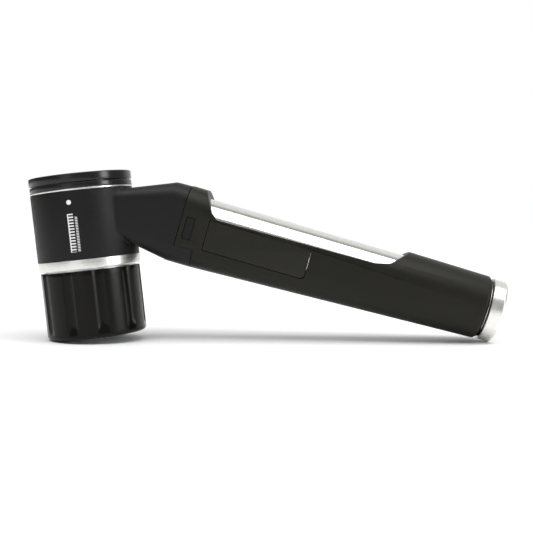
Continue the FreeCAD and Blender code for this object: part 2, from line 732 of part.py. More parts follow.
def coil_spring():
    """Round wire wound between the rear cell and the cap's floor, and where the coil starts."""
    wire_r = 0.4
    coil_r = 5.4
    turns = 3.5
    steps = 14
    first = SIZES["cells_start"] + 2 * SIZES["cell_length"] + 0.02 + wire_r + 0.1
    length = SIZES["cap_floor"] - wire_r - 0.1 - first

    def on_coil(step):
        angle = 2 * math.pi * turns * step / steps
        return FreeCAD.Vector(coil_r * math.cos(angle), coil_r * math.sin(angle), length * step / steps)

    arcs = [Part.Arc(on_coil(i), on_coil(i + 0.5), on_coil(i + 1)).toShape() for i in range(steps)]
    along = arcs[0].tangentAt(arcs[0].FirstParameter)
    section = Part.Wire([Part.Circle(on_coil(0), along, wire_r).toShape()])
    return Part.Wire(arcs).makePipeShell([section], True, False), first


def make_driver():
    """Driver board in the neck with its parts, the flat lead and the switch on the flank."""
    place_group("driver_board", HANDLE, box("board", (21.3, 28.4), (-5.5, 5.5), (-1.2, -0.2)))
    place_group("driver_chips", HANDLE,
                box("chip", (22.2, 25.2), (-3.4, 0.4), (-0.18, 0.9)),
                box("inductor", (25.6, 28.0), (0.8, 4.2), (-0.18, 1.5)),
                box("capacitor", (22.0, 23.6), (1.8, 3.0), (-0.18, 0.6)))
    at = "switch_along"
    place_group("switch_flex", HANDLE, box("flex", (36.0, f"{at} + 1.9"), (-8.25, -8.1), (-7.4, -4.4)))
    case = box("switch_case", (f"{at} - 1.5", f"{at} + 1.5"), (-8.85, -8.27), (-7.0, -4.6))
    well = rod("switch_well", 0.75, 2, x=at, y=-9.5, z=-5.9, along="y")
    place(cut("switch_case_cut", case, well), "tact_switch", HANDLE)
    place_group("switch_plunger", HANDLE, rod("plunger", 0.7, 0.5, x=at, y=-9.26, z=-5.9, along="y"))


def make_paddle():
    """Press tongue: a slice of the flank, with a round bead at the end it bends about."""
    outer = shell_loft("paddle_form", 0)
    inner = shell_loft("paddle_inside", value("paddle_thick"))
    slice_ = doc.addObject("Part::Common", "paddle_slice")
    slice_.Base = outer
    slice_.Tool = paddle_outline("paddle_block", 0)
    bead = rod("paddle_bead", "bead_r", "paddle_low + paddle_top - 0.4", x="paddle_start + bead_r",
               y="-bead_y", z="0.2 - paddle_low")
    place(fuse("switch_paddle", cut("paddle_leaf", slice_, inner), bead), "switch_paddle", HANDLE)


make_handle_shell()
make_head_housing()
make_skin_end()
make_light()
make_leads()
make_lens_tube()
make_focus_ring()
make_lens_carrier()
make_battery_tube()
make_end_cap()
make_driver()
make_paddle()
doc.recompute()

for item in doc.Objects:
    if {"Invalid", "Error"} & set(item.State):
        raise RuntimeError(f"{item.Label}: {item.State}")
for piece in pieces:
    if piece.Shape.isNull() or not piece.Shape.isValid():
        raise RuntimeError(f"{piece.Label}: no valid shape")

os.makedirs("parts", exist_ok=True)
for piece in pieces:
    piece.Shape.exportStep(f"parts/{piece.Label}.step")
    bounds = piece.Shape.BoundBox
    print(f"{piece.Label:18s} solids {len(piece.Shape.Solids)} volume {piece.Shape.Volume:9.1f}"
          f"  z {bounds.ZMin:6.2f} to {bounds.ZMax:6.2f}  x {bounds.XMin:7.2f} to {bounds.XMax:7.2f}")
print(f"tilt {math.degrees(tilt):.3f} degrees, head foot at x {head_x:.3f}, z {head_z:.3f}")
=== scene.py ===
"""Looks of a hand-held skin scope: a lit round head on a slanted battery handle."""

import json
import math

import bmesh
import bpy
from mathutils import Matrix, Vector

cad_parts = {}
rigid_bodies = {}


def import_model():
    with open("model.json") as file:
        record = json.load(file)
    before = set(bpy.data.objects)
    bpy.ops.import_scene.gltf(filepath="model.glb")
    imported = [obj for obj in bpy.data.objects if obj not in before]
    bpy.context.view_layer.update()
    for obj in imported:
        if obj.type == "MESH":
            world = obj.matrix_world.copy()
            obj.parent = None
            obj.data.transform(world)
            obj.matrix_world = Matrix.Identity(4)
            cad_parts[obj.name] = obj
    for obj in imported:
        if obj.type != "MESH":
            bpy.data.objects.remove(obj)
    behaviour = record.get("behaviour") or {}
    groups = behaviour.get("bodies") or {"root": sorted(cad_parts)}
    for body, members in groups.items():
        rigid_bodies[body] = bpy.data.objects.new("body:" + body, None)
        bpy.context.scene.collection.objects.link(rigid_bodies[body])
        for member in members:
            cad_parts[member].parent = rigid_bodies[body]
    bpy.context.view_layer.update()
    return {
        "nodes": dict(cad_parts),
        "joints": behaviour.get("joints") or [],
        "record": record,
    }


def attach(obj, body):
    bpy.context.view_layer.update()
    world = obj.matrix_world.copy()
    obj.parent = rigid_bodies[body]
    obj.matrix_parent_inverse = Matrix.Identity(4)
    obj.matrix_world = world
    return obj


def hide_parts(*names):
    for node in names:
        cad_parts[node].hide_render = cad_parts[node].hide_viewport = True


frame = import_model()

MM = 0.001
TURN_STEPS = 160

# ------------------------------------------------------------------ frames of the two arms

# Head frame: Z along the optical axis, zero in the eyepiece's rim plane.
# Handle frame: X along the battery tube, zero where the tube's axis meets the optical axis.
joints = {joint["name"]: joint for joint in frame["joints"]}
optic_foot = Vector(joints["focus_turn"]["pos_m"])
optic = Vector(joints["focus_turn"]["axis"]).normalized()
barrel_along = Vector(joints["battery_cap_pull"]["axis"]).normalized()
across = Vector((0, 1, 0))
HANDLE_ROOT = 47.3


def frame_of(x_axis, z_axis, origin):
    """A frame in metres from two of its axes and its origin."""
    axes = Matrix((x_axis, z_axis.cross(x_axis), z_axis)).transposed()
    return Matrix.Translation(origin) @ axes.to_4x4()


HEAD = frame_of(across.cross(optic), optic, optic_foot)
HANDLE = frame_of(barrel_along, barrel_along.cross(across), optic_foot + optic * HANDLE_ROOT * MM)
TO_MM = Matrix.Scale(1 / MM, 4)
TO_METRES = Matrix.Scale(MM, 4)
HANDLE_IN_HEAD = TO_MM @ HEAD.inverted() @ HANDLE @ TO_METRES


# ------------------------------------------------------------------ shader language


class Wire:
    """A shader socket that adds its Math nodes when it is used in an expression."""

    def __init__(self, paint, socket):
        self.paint = paint
        self.socket = socket

    def _math(self, operation, *values):
        return self.paint.node("ShaderNodeMath", {"operation": operation}, dict(enumerate(values)))

    def __add__(self, other):
        return self._math("ADD", self, other)

    __radd__ = __add__

    def __mul__(self, other):
        return self._math("MULTIPLY", self, other)

    def __sub__(self, other):
        return self._math("SUBTRACT", self, other)

    def __rsub__(self, other):
        return self._math("SUBTRACT", other, self)

    def __truediv__(self, other):
        return self._math("DIVIDE", self, other)

    def __lt__(self, other):
        return self._math("LESS_THAN", self, other)

    def distance(self):
        return self._math("ABSOLUTE", self)

    def to_nearest(self, pitch):
        """Distance from the nearest multiple of a pitch."""
        return self._math("PINGPONG", self, pitch / 2)

    def direction(self, other):
        """Angle in degrees of the point with this height over another distance."""
        return self._math("ARCTAN2", self, other) * math.degrees(1)

    def clamped(self):
        return self.paint.node("ShaderNodeClamp", {}, {"Value": self})


class Recipe:
    """A node tree and the short words that it is written in."""

    def __init__(self, tree):
        self.tree = tree

    def node(self, kind, settings, inputs, output=0):
        """Add a node, set it up, fill its inputs with values or wires and return one output."""
        made = self.tree.nodes.new(kind)
        for key, setting in settings.items():
            if key == "stops":
                self._set_stops(made.color_ramp, setting)
            else:
                setattr(made, key, setting)
        for key, given in inputs.items():
            if isinstance(given, Wire):
                self.tree.links.new(given.socket, made.inputs[key])
            else:
                made.inputs[key].default_value = given
        return Wire(self, made.outputs[output])

    @staticmethod
    def _set_stops(ramp, stops):
        while len(ramp.elements) < len(stops):
            ramp.elements.new(0.5)
        for element, (place, colour) in zip(ramp.elements, stops):
            element.position = place
            element.color = colour

    def parts(self, vector):
        made = self.tree.nodes.new("ShaderNodeSeparateXYZ")
        self.tree.links.new(vector.socket, made.inputs[0])
        return tuple(Wire(self, output) for output in made.outputs)

    def noise(self, vector, scale, detail=3.0, roughness=0.5):
        return self.node("ShaderNodeTexNoise", {}, {
            "Vector": vector, "Scale": scale, "Detail": detail, "Roughness": roughness})

    def ramp(self, factor, *stops):
        return self.node("ShaderNodeValToRGB", {"stops": stops}, {"Fac": factor})

    def span(self, factor, low, high, to_low, to_high):
        return self.node("ShaderNodeMapRange", {}, {
            "Value": factor, "From Min": low, "From Max": high, "To Min": to_low, "To Max": to_high})

    def blend(self, factor, first, second):
        """Mix two colours."""
        return self.node("ShaderNodeMix", {"data_type": "RGBA"}, {0: factor, 6: first, 7: second}, 2)

    def stretch(self, vector, x, y, z):
        return self.node("ShaderNodeVectorMath", {"operation": "MULTIPLY"}, {0: vector, 1: (x, y, z)})

    def band(self, value, low, high, soft):
        """One between two limits, falling to nothing over a soft edge."""
        return (((high - low) / 2 - (value - (low + high) / 2).distance()) / soft + 0.5).clamped()


class Paint(Recipe):
    """One material."""

    def __init__(self, name, **constants):
        self.material = bpy.data.materials.new(name)
        self.material.use_nodes = True
        super().__init__(self.material.node_tree)
        self.surface = self.tree.nodes["Principled BSDF"]
        for socket, setting in constants.items():
            self.surface.inputs[socket.replace("_", " ")].default_value = setting

    def position(self, arm):
        """Object position in millimetres, seen in the head or the handle frame."""
        place = self.node("ShaderNodeTexCoord", {}, {}, "Object")
        turned = self.node("ShaderNodeVectorRotate", {"rotation_type": "Y_AXIS"}, {
            "Vector": place, "Center": arm.translation, "Angle": arm_angle(arm)})
        centred = self.node("ShaderNodeVectorMath", {"operation": "SUBTRACT"}, {
            0: turned, 1: arm.translation})
        return self.node("ShaderNodeVectorMath", {"operation": "SCALE"}, {0: centred, "Scale": 1 / MM})

    def set(self, **wires):
        for name, wire in wires.items():
            self.tree.links.new(wire.socket, self.surface.inputs[name.replace("_", " ")])

    def relief(self, height, depth):
        """Raise the surface by a height in millimetres times a depth."""
        bump = self.node("ShaderNodeBump", {}, {"Height": height, "Distance": depth * MM, "Strength": 1.0})
        self.set(Normal=bump)


def arm_angle(arm):
    """Turn about +Y that brings an arm's X axis back onto the world's."""
    return math.atan2(arm[2][0], arm[0][0])


def grey(level):
    return (level, level, level, 1.0)


# ------------------------------------------------------------------ finishes


def moulded_black(name, arm, level, warm=0.0, rough=0.42, grain=0.006, shine=0.3):
    """Black moulding: fine spark texture, faint flow marks and rubbed, slightly lighter patches."""
    paint = Paint(name, Specular_IOR_Level=shine)
    place = paint.position(arm)
    fine = paint.noise(place, 9.0, 4.0, 0.6)
    broad = paint.noise(paint.stretch(place, 0.35, 1.0, 1.0), 0.16, 2.0)
    rubbed = paint.noise(place, 0.6, 5.0, 0.65)
    dark = (level * 0.9, level * 0.87, level * (0.84 - warm), 1.0)
    light = (level * 1.25, level * 1.2, level * (1.12 - warm), 1.0)
    wear = paint.span(broad * 0.6 + rubbed * 0.4, 0.35, 0.65, 0.0, 1.0)
    paint.set(Base_Color=paint.blend(wear, dark, light),
              Roughness=paint.span(rubbed, 0.3, 0.7, rough - 0.05, rough + 0.06))
    paint.relief(fine, grain)
    return paint.material


TICK_PITCH = 0.92
DASH_PITCH = 0.5
PRINT_EDGE = 0.1
PRINT_FOOT = 27.7
SCALE_TOP = 39.7
DASHES_TOP = 38.8
DOT_CENTRE = (-0.57, 0.0, 43.3)
DOT_R = 0.75


def printed_black(name):
    """The barrel's black with a plain white printed scale: ticks on a line, fine dashes and a dot."""
    paint = Paint(name, Specular_IOR_Level=0.22)
    place = paint.position(HEAD)
    x, y, z = paint.parts(place)
    ticks = paint.band(z.to_nearest(TICK_PITCH), -0.2, 0.2, PRINT_EDGE)
    line = paint.band(x, -1.55, -1.22, PRINT_EDGE)
    scale = paint.band(x, -1.45, 0.3, PRINT_EDGE) * ticks + line
    strokes = paint.band(z.to_nearest(DASH_PITCH), -0.11, 0.11, PRINT_EDGE)
    dashes = paint.band(x, 0.75, 1.55, PRINT_EDGE) * strokes
    from_dot = paint.node("ShaderNodeVectorMath", {"operation": "DISTANCE"}, {
        0: paint.stretch(place, 1.0, 0.0, 1.0), 1: DOT_CENTRE}, 1)
    dot = paint.band(from_dot, -DOT_R, DOT_R, PRINT_EDGE)
    scale_rows = scale * paint.band(z, PRINT_FOOT, SCALE_TOP, PRINT_EDGE)
    dash_rows = dashes * paint.band(z, PRINT_FOOT, DASHES_TOP, PRINT_EDGE)
    near_side = y < -10.0
    white = ((scale_rows + dash_rows + dot) * near_side).clamped()
    fine = paint.noise(place, 9.0, 4.0, 0.6)
    rubbed = paint.noise(place, 0.6, 5.0, 0.65)
    black = paint.blend(rubbed, (0.0045, 0.0045, 0.0047, 1), (0.0075, 0.0074, 0.007, 1))
    paint.set(Base_Color=paint.blend(white, black, grey(0.8)),
              Roughness=paint.span(rubbed, 0.3, 0.7, 0.4, 0.5))
    paint.relief(fine + white * 2.0, 0.005)
    return paint.material


def gloss_black(name, arm):
    """Polished black ring with very fine turning marks and a trace of handling haze."""
    paint = Paint(name, Specular_IOR_Level=0.4)
    place = paint.position(arm)
    haze = paint.noise(place, 0.5, 4.0, 0.6)
    turning = paint.noise(paint.stretch(place, 0.02, 0.02, 9.0), 1.0, 3.0)
    paint.set(Base_Color=paint.blend(haze, (0.005, 0.005, 0.0055, 1), (0.009, 0.009, 0.0095, 1)),
              Roughness=paint.span(haze, 0.3, 0.7, 0.13, 0.22))
    paint.relief(turning, 0.002)
    return paint.material


def turned_metal(name, arm, along, level, rough, groove):
    """Aluminium off the lathe: fine rings round the axis, streaked roughness and soft marks."""
    paint = Paint(name, Metallic=1.0)
    place = paint.position(arm)
    squeeze = [0.03, 0.03, 0.03]
    squeeze[along] = 7.0
    rings = paint.noise(paint.stretch(place, *squeeze), 1.0, 4.0, 0.65)
    marks = paint.noise(place, 0.45, 5.0, 0.6)
    light = (level, level * 0.995, level * 0.965, 1.0)
    dull = (level * 0.86, level * 0.855, level * 0.82, 1.0)
    streaks = paint.span(marks * 0.5 + rings * 0.5, 0.35, 0.65, 0.0, 1.0)
    paint.set(Base_Color=paint.blend(streaks, dull, light),
              Roughness=paint.span(rings, 0.3, 0.7, rough - 0.05, rough + 0.08))
    paint.relief(rings, groove)
    return paint.material


def clear_glass(name, arm, tint):
    """Coated optical glass with a faint film of dust."""
    paint = Paint(name, Transmission_Weight=1.0, IOR=1.52, Specular_IOR_Level=0.5)
    film = paint.noise(paint.position(arm), 0.7, 5.0, 0.7)
    paint.set(Base_Color=paint.blend(film, tint, (0.97, 0.98, 0.98, 1)),
              Roughness=paint.span(film, 0.4, 0.8, 0.0, 0.04))
    return paint.material


def plain_part(name, arm, low, high, rough, scale=1.2, metallic=0.0, grain=0.004):
    """Small inner piece: two close colours in a mottle, with a fine surface."""
    paint = Paint(name, Metallic=metallic)
    mottle = paint.noise(paint.position(arm), scale, 4.0, 0.6)
    paint.set(Base_Color=paint.blend(mottle, low, high),
              Roughness=paint.span(mottle, 0.3, 0.7, rough - 0.06, rough + 0.06))
    paint.relief(mottle, grain)
    return paint.material


FINISH = {
    "housing_plastic": printed_black("housing_black"),
    "shell_plastic": moulded_black("shell_black", HANDLE, 0.008, 0.35, 0.42, 0.006, 0.2),
    "tongue_plastic": moulded_black("tongue_black", HANDLE, 0.009, 0.4, 0.44, 0.006, 0.25),
    "grip_plastic": moulded_black("grip_black", HEAD, 0.0035, 0.2, 0.2, 0.003, 0.15),
    "contact_plastic": gloss_black("contact_gloss", HEAD),
    "base_plastic": gloss_black("base_gloss", HEAD),
    "trim_aluminium": turned_metal("trim_metal", HEAD, 2, 0.86, 0.22, 0.003),
    "band_aluminium": turned_metal("band_metal", HEAD, 2, 0.84, 0.3, 0.002),
    "tube_aluminium": turned_metal("tube_metal", HANDLE, 0, 0.92, 0.11, 0.0005),
    "cap_aluminium": turned_metal("cap_metal", HANDLE, 0, 0.88, 0.28, 0.002),
    "plate_glass": clear_glass("plate_glass", HEAD, (0.93, 0.96, 0.95, 1)),
    "lens_glass": clear_glass("lens_glass", HEAD, (0.9, 0.94, 0.98, 1)),
    "seal_rubber": plain_part("seal_rubber", HEAD, grey(0.012), grey(0.02), 0.7),
    "black_anodised": plain_part("black_anodised", HEAD, grey(0.012), grey(0.022), 0.4, 2.0, 0.6),
    "steel": plain_part("plated_steel", HEAD, grey(0.5), grey(0.62), 0.3, 3.0, 1.0),
    "nickel": plain_part("nickel", HANDLE, (0.6, 0.57, 0.5, 1), (0.7, 0.67, 0.6, 1), 0.25, 2.0, 1.0),
    "insulator_plastic": plain_part("insulator", HANDLE, grey(0.6), grey(0.7), 0.5),
    "board_white": plain_part("board_white", HEAD, (0.78, 0.79, 0.76, 1), (0.86, 0.86, 0.83, 1), 0.4),
    "led_lens": plain_part("led_phosphor", HEAD, (0.85, 0.74, 0.25, 1), (0.92, 0.84, 0.4, 1), 0.25),
    "diffuser_plastic": plain_part("diffuser_white", HEAD, grey(0.8), grey(0.9), 0.5),
    "lead_pvc": plain_part("lead_red", HEAD, (0.5, 0.03, 0.02, 1), (0.6, 0.05, 0.03, 1), 0.45),
    "board_green": plain_part("board_green", HANDLE, (0.02, 0.14, 0.05, 1), (0.03, 0.2, 0.08, 1), 0.35),
    "chip_plastic": plain_part("chip_black", HANDLE, grey(0.02), grey(0.035), 0.5),
    "battery_jacket": plain_part("battery_jacket", HANDLE, (0.06, 0.07, 0.09, 1), (0.1, 0.11, 0.13, 1), 0.3),
    "flex_film": plain_part("flex_film", HANDLE, (0.35, 0.16, 0.03, 1), (0.45, 0.22, 0.05, 1), 0.3),
    "plunger_plastic": plain_part("plunger_black", HANDLE, grey(0.04), grey(0.06), 0.45),
}

slot_of = {entry["node"]: entry["material_slot"] for entry in frame["record"]["subparts"]}
for node, shown in frame["nodes"].items():
    shown.data.materials.clear()
    shown.data.materials.append(FINISH[slot_of[node]])


# ------------------------------------------------------------------ mesh tools

# Meshes are drawn in millimetres in the head or handle frame and moved into the world at the end.


def rounded(corners, steps=4):
    """An outline whose corners, given with their radius as the third number, are drawn as arcs."""
    outline = []
    for i, (first, second, radius) in enumerate(corners):
        here = Vector((first, second))
        if not radius:
            outline.append(here)
            continue
        back = (Vector(corners[i - 1][:2]) - here).normalized()
        ahead = (Vector(corners[(i + 1) % len(corners)][:2]) - here).normalized()
        half = back.angle(ahead) / 2
        centre = here + (back + ahead).normalized() * radius / math.sin(half)
        reach = radius / math.tan(half)
        start = (here + back * reach - centre).normalized()
        end = (here + ahead * reach - centre).normalized()
        outline += [centre + start.slerp(end, k / steps) * radius for k in range(steps + 1)]
    return outline


def even_turn(count=TURN_STEPS):
    return [2 * math.pi * i / count for i in range(count)]


def settle(bm, name):
    """Turn a bmesh into a mesh whose normals face out."""
    bmesh.ops.recalc_face_normals(bm, faces=bm.faces)
    mesh = bpy.data.meshes.new(name)
    bm.to_mesh(mesh)
    bm.free()
    return mesh


def lathe(name, outline, lying=False, angles=None, shape=None):
    """Turn an outline of (radius, level) about Z, or about X for a piece that lies along the handle."""
    angles = angles or even_turn()
    bm = bmesh.new()
    columns = []
    for angle in angles:
        column = []
        for radius, level in outline:
            reach = shape(radius, level, angle) if shape else radius
            side, up = reach * math.cos(angle), reach * math.sin(angle)
            column.append(bm.verts.new((level, side, up) if lying else (side, up, level)))
        columns.append(column)
    count = len(outline)
    for i, column in enumerate(columns):
        following = columns[(i + 1) % len(columns)]
        for k in range(count):
            after = (k + 1) % count
            if outline[k][0] > 0 or outline[after][0] > 0:
                bm.faces.new((column[k], column[after], following[after], following[k]))
    bmesh.ops.remove_doubles(bm, verts=bm.verts, dist=1e-6)
    return settle(bm, name)


def skin(name, rings):
    """A closed solid through rings with the same number of points."""
    bm = bmesh.new()
    rows = [[bm.verts.new(point) for point in ring] for ring in rings]
    for row, following in zip(rows, rows[1:]):
        for i in range(len(row)):
            after = (i + 1) % len(row)
            bm.faces.new((row[i], row[after], following[after], following[i]))
    bm.faces.new(rows[0])
    bm.faces.new(reversed(rows[-1]))
    return settle(bm, name)


def block(name, x, y, z):
    corners = [(x[i], y[j], z[k]) for i in (0, 1) for j in (0, 1) for k in (0, 1)]
    rings = [[corners[4 * end + k] for k in (0, 1, 3, 2)] for end in (0, 1)]
    return skin(name, rings)


def prism(name, outline, low, high):
    """A side outline of (along, up) drawn out between two levels across."""
    return skin(name, [[(along, level, up) for along, up in outline] for level in (low, high)])


def cylinder(name, radius, low, high, count=96):
    """A round bar along X."""
    return skin(name, [[(along, radius * math.cos(a), radius * math.sin(a)) for a in even_turn(count)]
                       for along in (low, high)])


def carve(blank, *steps):
    """Apply (operation, mesh) steps to a blank in turn and return the carved mesh."""
    scene_objects = bpy.context.scene.collection.objects
    work = bpy.data.objects.new("work", blank)
    scene_objects.link(work)
    tools = []
    for operation, mesh in steps:
        tool = bpy.data.objects.new("tool", mesh)
        scene_objects.link(tool)
        tools.append(tool)
        step = work.modifiers.new(operation, "BOOLEAN")
        step.operation = operation
        step.solver = "EXACT"
        step.object = tool
    carved = bpy.data.meshes.new_from_object(work.evaluated_get(bpy.context.evaluated_depsgraph_get()))
    for item in [work, *tools]:
        bpy.data.objects.remove(item)
    return carved


def soften(mesh, width, angle=32.0, near=0.02, segments=2):
    """Round every edge sharper than an angle."""
    bm = bmesh.new()
    bm.from_mesh(mesh)
    bmesh.ops.remove_doubles(bm, verts=bm.verts, dist=near)
    bmesh.ops.dissolve_degenerate(bm, edges=bm.edges, dist=near / 2)
    sharp = [edge for edge in bm.edges
             if edge.is_manifold and edge.calc_face_angle() > math.radians(angle)]
    bmesh.ops.bevel(bm, geom=sharp, offset=width, offset_type="OFFSET", segments=segments, profile=0.5,
                    affect="EDGES", clamp_overlap=False)
    return settle(bm, mesh.name)


body_of = {node: body for body, nodes in frame["record"]["behaviour"]["bodies"].items() for node in nodes}


def stand_for(name, mesh, arm, node, sharp=35.0):
    """Show a mesh in place of a CAD node, on the same body and with the same slot."""
    mesh.name = name
    mesh.transform(arm @ TO_METRES)
    mesh.polygons.foreach_set("use_smooth", [True] * len(mesh.polygons))
    mesh.set_sharp_from_angle(angle=math.radians(sharp))
    mesh.materials.clear()
    mesh.materials.append(FINISH[slot_of[node]])
    piece = bpy.data.objects.new(name, mesh)
    bpy.context.scene.collection.objects.link(piece)
    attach(piece, body_of[node])
    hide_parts(node)


# ------------------------------------------------------------------ turned pieces of the head

BARREL_R = 16.5
BARREL_BOTTOM = 25.15
BARREL_TOP = 46.95
TRIM_TOP = 47.5

stand_for("contact_rim", lathe("contact_rim", rounded([
    (12.3, 47.0, 0.1), (13.95, 47.0, 0.1), (13.95, 48.2, 0), (13.2, 48.2, 0), (13.2, 49.0, 0),
    (13.95, 49.0, 0), (13.95, 49.35, 0), (14.4, 49.35, 0), (14.4, 49.6, 0), (16.55, 49.6, 0.12),
    (16.55, 52.3, 0.4), (12.92, 52.3, 0.12), (12.92, 50.8, 0), (12.3, 50.8, 0)])), HEAD, "contact_ring")
stand_for("contact_window", lathe("contact_window", rounded([
    (0, 50.8, 0), (12.9, 50.8, 0.08), (12.9, 52.2, 0.15), (0, 52.2, 0)])), HEAD, "contact_glass", 60.0)
stand_for("seat_rim", lathe("seat_rim", rounded([
    (14.0, 45.7, 0), (14.85, 45.7, 0), (14.85, TRIM_TOP, 0), (16.45, TRIM_TOP, 0.1), (16.45, 49.3, 0.3),
    (14.0, 49.3, 0.15)])), HEAD, "base_ring")
stand_for("bright_trim", lathe("bright_trim", rounded([
    (14.95, 47.0, 0), (16.45, 47.0, 0.1), (16.45, TRIM_TOP, 0.1), (14.95, TRIM_TOP, 0)])),
    HEAD, "trim_ring")
stand_for("bright_band", lathe("bright_band", rounded([
    (13.0, 8.2, 0.15), (14.4, 8.2, 0.3), (14.4, 22.1, 0.1), (16.2, 22.1, 0.1), (16.5, 22.4, 0.15),
    (16.5, BARREL_BOTTOM, 0.05), (14.4, BARREL_BOTTOM, 0.05), (14.4, 36.0, 0.3), (13.0, 36.0, 0.2)])),
    HEAD, "lens_tube")

# ------------------------------------------------------------------ ribbed eyepiece

FOCUS_R = 16.05
FOCUS_TOP = 21.54
RIM_R = 1.3
FLUTES = 10
FLUTE_PITCH = 2 * math.pi / FLUTES
FLUTE_FIRST = math.radians(-69.0)
FLUTE_HALF = math.radians(7.0)
FLUTE_CENTRE = 19.42
FLUTE_R = 4.0
FLUTE_FOOT = 0.9
RUN_OUT = 3.6


def flute_angles():
    """Angles round the ring, close together where a flute starts and ends."""
    inside = [-1.03, -0.99, -0.93, -0.8, -0.6, -0.4, -0.2, 0.0, 0.2, 0.4, 0.6, 0.8, 0.93, 0.99, 1.03]
    land = [1.2, 1.4, 1.75, 2.1, 2.57, 3.05, 3.4, 3.75, 3.94]
    return [FLUTE_FIRST + FLUTE_PITCH * i + FLUTE_HALF * share
            for i in range(FLUTES) for share in inside + land]


def fluted(radius, level, angle):
    """Radius of the ring where shallow round-bottomed flutes run down from its top edge."""
    turn = (angle - FLUTE_FIRST + FLUTE_PITCH / 2) % FLUTE_PITCH - FLUTE_PITCH / 2
    if radius < FOCUS_R - RIM_R - 0.05 or abs(turn) >= FLUTE_HALF:
        return radius
    off_centre = FLUTE_CENTRE * math.sin(turn)
    floor_r = FLUTE_CENTRE * math.cos(turn) - math.sqrt(FLUTE_R ** 2 - off_centre ** 2)
    share = min(1.0, max(0.0, (level - FLUTE_FOOT) / RUN_OUT))
    depth = (FOCUS_R - floor_r) * share * share * (3 - 2 * share)
    return radius - depth if radius > FOCUS_R - 0.3 else min(radius, FOCUS_R - depth)


side_levels = [RIM_R, 1.6, 2.0, 2.4, 2.8, 3.2, 3.6, 4.0, 4.5, 6.0, 8.0, 11.0, 14.0, 17.0, 20.0]
rim = [(FOCUS_R - RIM_R + RIM_R * math.sin(math.radians(a)), RIM_R - RIM_R * math.cos(math.radians(a)))
       for a in range(0, 90, 10)]
grip_outline = [
    (13.45, 0.05), (13.6, 0.0), *rim, *[(FOCUS_R, level) for level in side_levels],
    (FOCUS_R, FOCUS_TOP - 0.2), (FOCUS_R - 0.06, FOCUS_TOP - 0.06), (FOCUS_R - 0.2, FOCUS_TOP),
    (14.6, FOCUS_TOP), (14.45, FOCUS_TOP - 0.15), (14.45, 3.95), (13.4, 3.95), (13.4, 0.12)]
stand_for("ribbed_eyepiece", lathe("ribbed_eyepiece", grip_outline, angles=flute_angles(), shape=fluted),
          HEAD, "focus_ring", 28.0)

# ------------------------------------------------------------------ turned pieces of the handle

stand_for("battery_barrel", lathe("battery_barrel", rounded([
    (7.75, 29.0, 0.2), (9.2, 29.0, 0.2), (9.2, 136.0, 0.25), (8.4, 136.0, 0.1), (8.4, 130.4, 0),
    (7.75, 130.4, 0)]), lying=True), HANDLE, "battery_tube")
stand_for("turned_cap", lathe("turned_cap", rounded([
    (0, 140.7, 0), (8.2, 140.7, 0.1), (8.3, 140.62, 0.1), (8.45, 140.7, 0.1), (9.4, 140.7, 0.2),
    (10.0, 140.1, 0.25), (10.0, 136.35, 0.15), (9.15, 136.35, 0), (9.15, 136.7, 0), (8.35, 136.7, 0),
    (8.35, 130.7, 0.2), (7.35, 130.7, 0.2), (7.35, 138.4, 0), (0, 138.4, 0)]), lying=True),
    HANDLE, "end_cap")

# ------------------------------------------------------------------ handle shell and press tongue

ARC_STEPS = 10
FORM_KEYS = ("half", "low", "top", "round")
FRONT = {"half": 10.95, "low": 14.0, "top": 11.7, "round": 7.0}
REAR = {"half": 10.35, "low": 10.2, "top": 10.3, "round": 9.6}
SHELL_START = 33.0
SHELL_END = 135.7
SHELL_CHAMFER = 1.0
PART_UPPER = 35.3
PART_LOWER = 41.4
PART_STEP = 7.7
SEAM = 0.12
BORE_R = 9.28
PADDLE = {"start": 44.4, "end": 77.6, "low": 6.8, "top": 2.75, "round": 1.4, "thick": 0.95, "gap": 0.14}
PADDLE_SPAN = (-13.0, -7.4)


def section(half, low, top, corner):
    """Points (across, up) of an upright rectangle with rounded corners."""
    points = []
    for quarter, (side, up) in enumerate(((1, -1), (1, 1), (-1, 1), (-1, -1))):
        centre = (side * (half - corner), (top if up > 0 else low) * up - corner * up)
        for k in range(ARC_STEPS + 1):
            angle = math.pi / 2 * (quarter - 1 + k / ARC_STEPS)
            points.append((centre[0] + corner * math.cos(angle), centre[1] + corner * math.sin(angle)))
    return points


def shell_form(inset):
    """The handle's outer form, drawn in by an inset."""
    rings = []
    for along, sizes, inward in ((SHELL_START, FRONT, inset), (SHELL_END - SHELL_CHAMFER, REAR, inset),
                                 (SHELL_END, REAR, inset + SHELL_CHAMFER)):
        rings.append([(along, y, h) for y, h in section(*(sizes[key] - inward for key in FORM_KEYS))])
    return skin("shell_form", rings)


def tongue_prism(gap):
    """The press tongue's outline, grown by a gap and drawn through the near flank."""
    start, end = PADDLE["start"] - gap, PADDLE["end"] + gap
    low, top = -PADDLE["low"] - gap, PADDLE["top"] + gap
    outline = rounded([(start, low, 0.3), (end, low, PADDLE["round"]), (end, top, PADDLE["round"]),
                       (start, top, 0.3)], steps=6)
    return prism("tongue_prism", outline, *PADDLE_SPAN)


cutout = rounded([
    (40.5, 14.0, 0), (40.5, 11.4, 0), (44.15, 5.1, 3.0), (46.4, 3.48, 2.0), (97.6, 4.37, 5.0),
    (102.6, 5.55, 3.0), (109.4, 11.9, 0), (109.4, 14.0, 0)], steps=8)
front_step = [
    (20.0, 20.0), (20.0, -20.0), (PART_LOWER + SEAM, -20.0), (PART_LOWER + SEAM, -PART_STEP - SEAM),
    (PART_UPPER + SEAM, -PART_STEP - SEAM), (PART_UPPER + SEAM, 20.0)]

